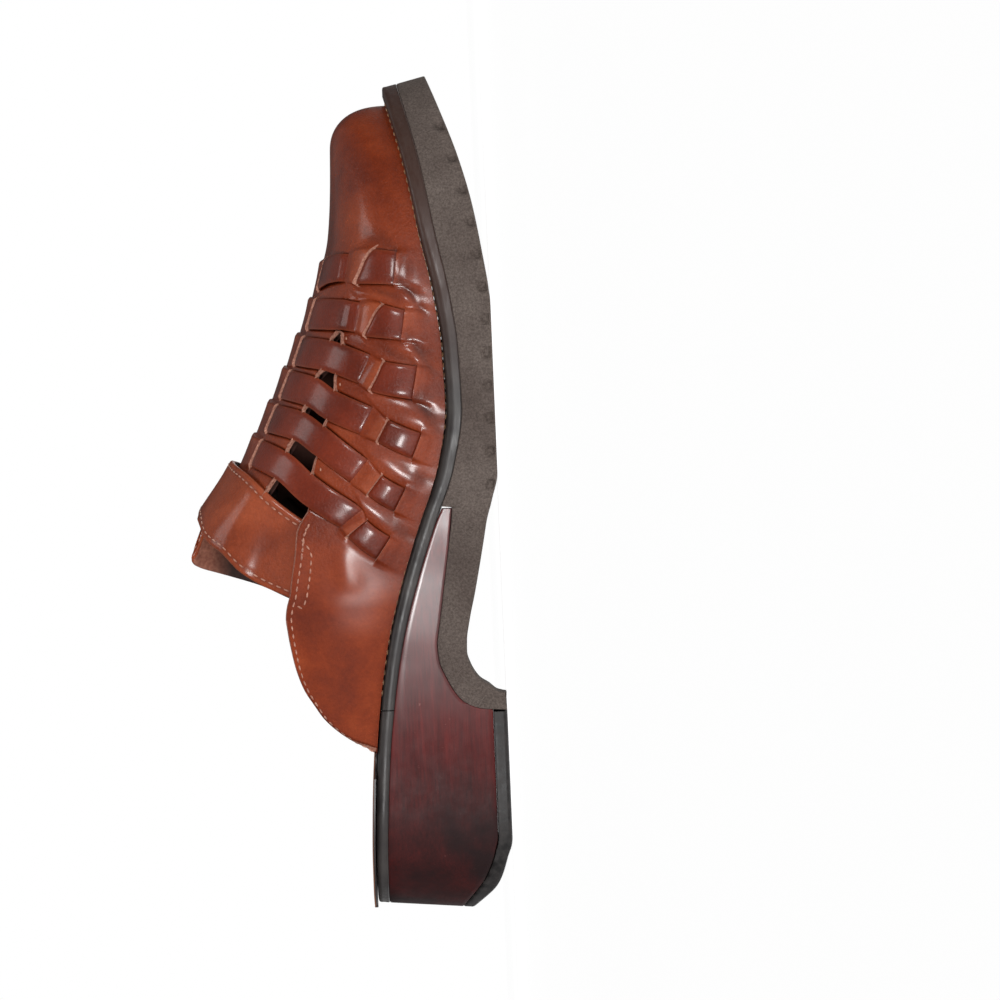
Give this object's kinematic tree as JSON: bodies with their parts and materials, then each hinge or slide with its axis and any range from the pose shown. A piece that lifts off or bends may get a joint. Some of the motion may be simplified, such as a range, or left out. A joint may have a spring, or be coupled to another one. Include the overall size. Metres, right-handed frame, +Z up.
{
  "type": "clog",
  "caption": "Open-back leather clog with a woven strap vamp, an instep strap, a lugged rubber sole and a wood-look heel wedge.",
  "frame": {"origin": "on the floor, under the middle of the shoe's bounding box", "axes": "+Z up, toe towards -Y, little-toe side of the right shoe towards -X"},
  "size_m": [0.0949, 0.265, 0.0997],
  "materials": {
    "outsole_rubber": "matt grey-brown moulded rubber",
    "top_lift_rubber": "worn black rubber",
    "heel_wood_look": "burgundy wood grain under a worn lacquer",
    "midsole_rubber": "satin black-grey rubber",
    "insole_leather": "matt tan leather",
    "upper_leather": "polished reddish-brown leather",
    "strap_leather": "polished reddish-brown leather with stitched edges"
  },
  "bodies": {
    "root": {"outsole": "outsole_rubber", "top_lift": "top_lift_rubber", "heel_wedge": "heel_wood_look", "welt": "midsole_rubber", "heel_rand": "midsole_rubber", "insole": "insole_leather", "upper": "upper_leather", "instep_strap": "strap_leather"}
  },
  "joints": []
}
